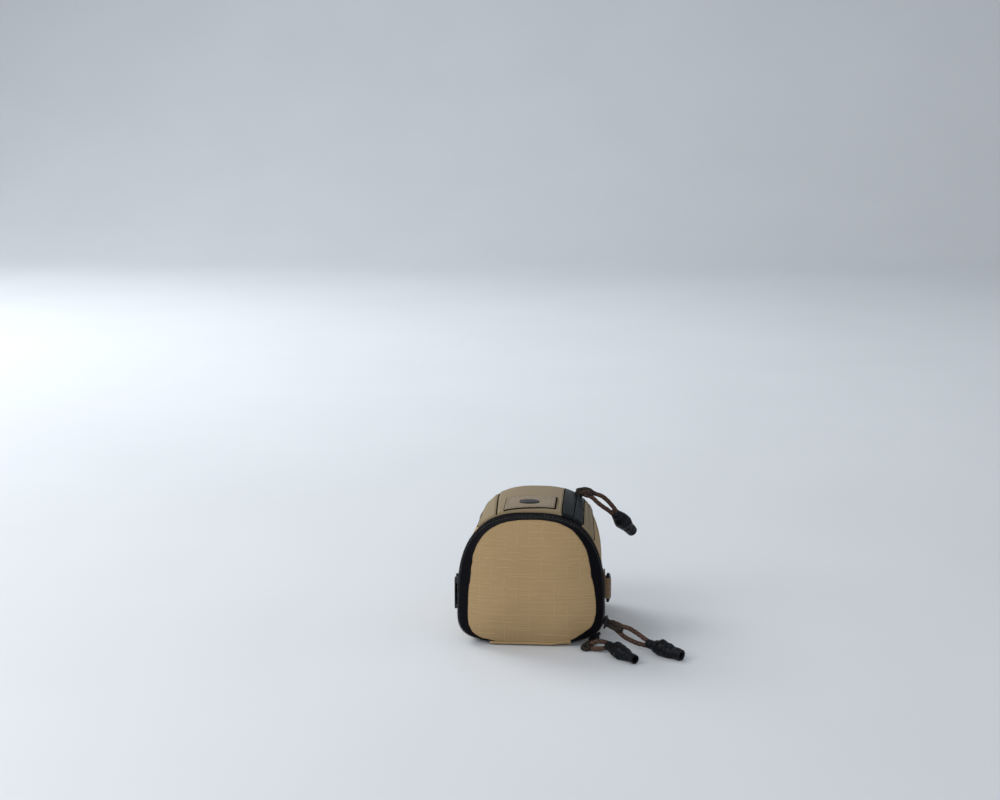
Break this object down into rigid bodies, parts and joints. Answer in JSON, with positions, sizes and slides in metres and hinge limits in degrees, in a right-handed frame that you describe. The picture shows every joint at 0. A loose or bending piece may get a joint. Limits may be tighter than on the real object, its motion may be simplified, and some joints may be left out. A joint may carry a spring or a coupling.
{
  "type": "binocular harness pack",
  "caption": "Padded chest pouch with an arched zip lid, a front pocket with a coated zip, a loop patch, side fittings and cord pulls.",
  "frame": {"origin": "the middle of the chest panel, on the flat face that rests on a surface or on the wearer's chest", "axes": "X across the pack, Y from the lid to the bottom end, Z from the chest panel out to the front pocket"},
  "size_m": [0.2179, 0.2104, 0.1329],
  "materials": {
    "ripstop_tan": "woven ripstop with a faint grid, matt",
    "ripstop_top": "woven ripstop with a faint grid, a little darker and dusty",
    "foam": "closed-cell padding, fabric faced",
    "lining": "smooth nylon lining",
    "mesh_black": "black spacer mesh",
    "zip_black": "black woven zip tape",
    "coil_black": "black nylon coil",
    "coated_slate": "dark grey-blue coated tape, satin",
    "loop_pile": "loop pile",
    "badge_black": "smooth black moulded oval",
    "webbing_tan": "ribbed nylon webbing",
    "metal_black": "black painted zinc, worn satin",
    "plastic_black": "black moulded acetal",
    "cord_brown": "braided cord, brown and olive",
    "sleeve_black": "black shrunk tube, satin"
  },
  "bodies": {
    "pack": {"outer_shell": "ripstop_tan", "bottom_end_panel": "ripstop_tan", "shell_foam": "foam", "inner_lining": "lining", "chest_panel": "mesh_black", "lid_hinge_strip": "ripstop_tan", "front_panel": "ripstop_top", "front_panel_edge": "ripstop_top", "front_zip_tape_left": "coated_slate", "front_zip_tape_right": "coated_slate", "front_zip_coil": "coil_black", "loop_patch": "loop_pile", "patch_badge": "badge_black", "body_zip_tape": "zip_black", "body_zip_coil": "coil_black", "zip_end_stops": "metal_black", "webbing_tab_right": "webbing_tan", "webbing_tab_left": "webbing_tan"},
    "lid": {"lid_panel": "ripstop_tan", "lid_foam": "foam", "lid_lining": "lining", "lid_zip_tape": "zip_black", "lid_zip_coil": "coil_black"},
    "tab_ring": {"tab_ring": "metal_black"},
    "side_buckle": {"side_buckle": "plastic_black"},
    "slider_a": {"slider_a": "metal_black"},
    "pull_a": {"pull_ring_a": "metal_black", "pull_cord_a": "cord_brown", "pull_sleeve_a": "sleeve_black"},
    "slider_b": {"slider_b": "metal_black", "pull_ring_b": "metal_black"},
    "pull_b": {"pull_cord_b": "cord_brown", "pull_sleeve_b": "sleeve_black"},
    "slider_front": {"slider_front": "metal_black"},
    "pull_front": {"pull_ring_front": "metal_black", "pull_cord_front": "cord_brown", "pull_sleeve_front": "sleeve_black"}
  },
  "joints": [
    {"name": "lid_hinge", "type": "hinge", "parent": "pack", "child": "lid", "pos_m": [0, -0.0785, 0.005], "axis": [1, 0, 0], "range_deg": [0, 60]},
    {"name": "tab_ring_pivot", "type": "hinge", "parent": "pack", "child": "tab_ring", "pos_m": [0.0712, -0.0265, 0.042], "axis": [0, 0, -1], "range_deg": [0, 150]},
    {"name": "side_buckle_pivot", "type": "hinge", "parent": "pack", "child": "side_buckle", "pos_m": [-0.07, -0.0325, 0.042], "axis": [0, 0, -1], "range_deg": [0, 90]},
    {"name": "slider_a_travel", "type": "hinge", "parent": "pack", "child": "slider_a", "pos_m": [-0.02263, -0.0702, 0.03615], "axis": [0, -1, 0], "range_deg": [0, 16]},
    {"name": "pull_ring_a_pivot", "type": "hinge", "parent": "slider_a", "child": "pull_a", "pos_m": [0.0731, -0.0702, 0.02028], "axis": [0, -1, 0], "range_deg": [0, 80]},
    {"name": "slider_b_travel", "type": "hinge", "parent": "pack", "child": "slider_b", "pos_m": [0.04496, -0.0702, 0.02896], "axis": [0, -1, 0], "range_deg": [0, 6.5]},
    {"name": "pull_b_lift", "type": "hinge", "parent": "slider_b", "child": "pull_b", "pos_m": [0.0545, -0.0775, 0.0035], "axis": [0.764, 0.6452, 0], "range_deg": [-30, 0]},
    {"name": "slider_front_travel", "type": "hinge", "parent": "pack", "child": "slider_front", "pos_m": [0.038, -0.02264, -0.31809], "axis": [1, 0, 0], "range_deg": [0, 13]},
    {"name": "pull_ring_front_pivot", "type": "hinge", "parent": "slider_front", "child": "pull_front", "pos_m": [0.04175, 0.04842, 0.11905], "axis": [-0.839, 0.0863, 0.5372], "range_deg": [0, 120]}
  ]
}
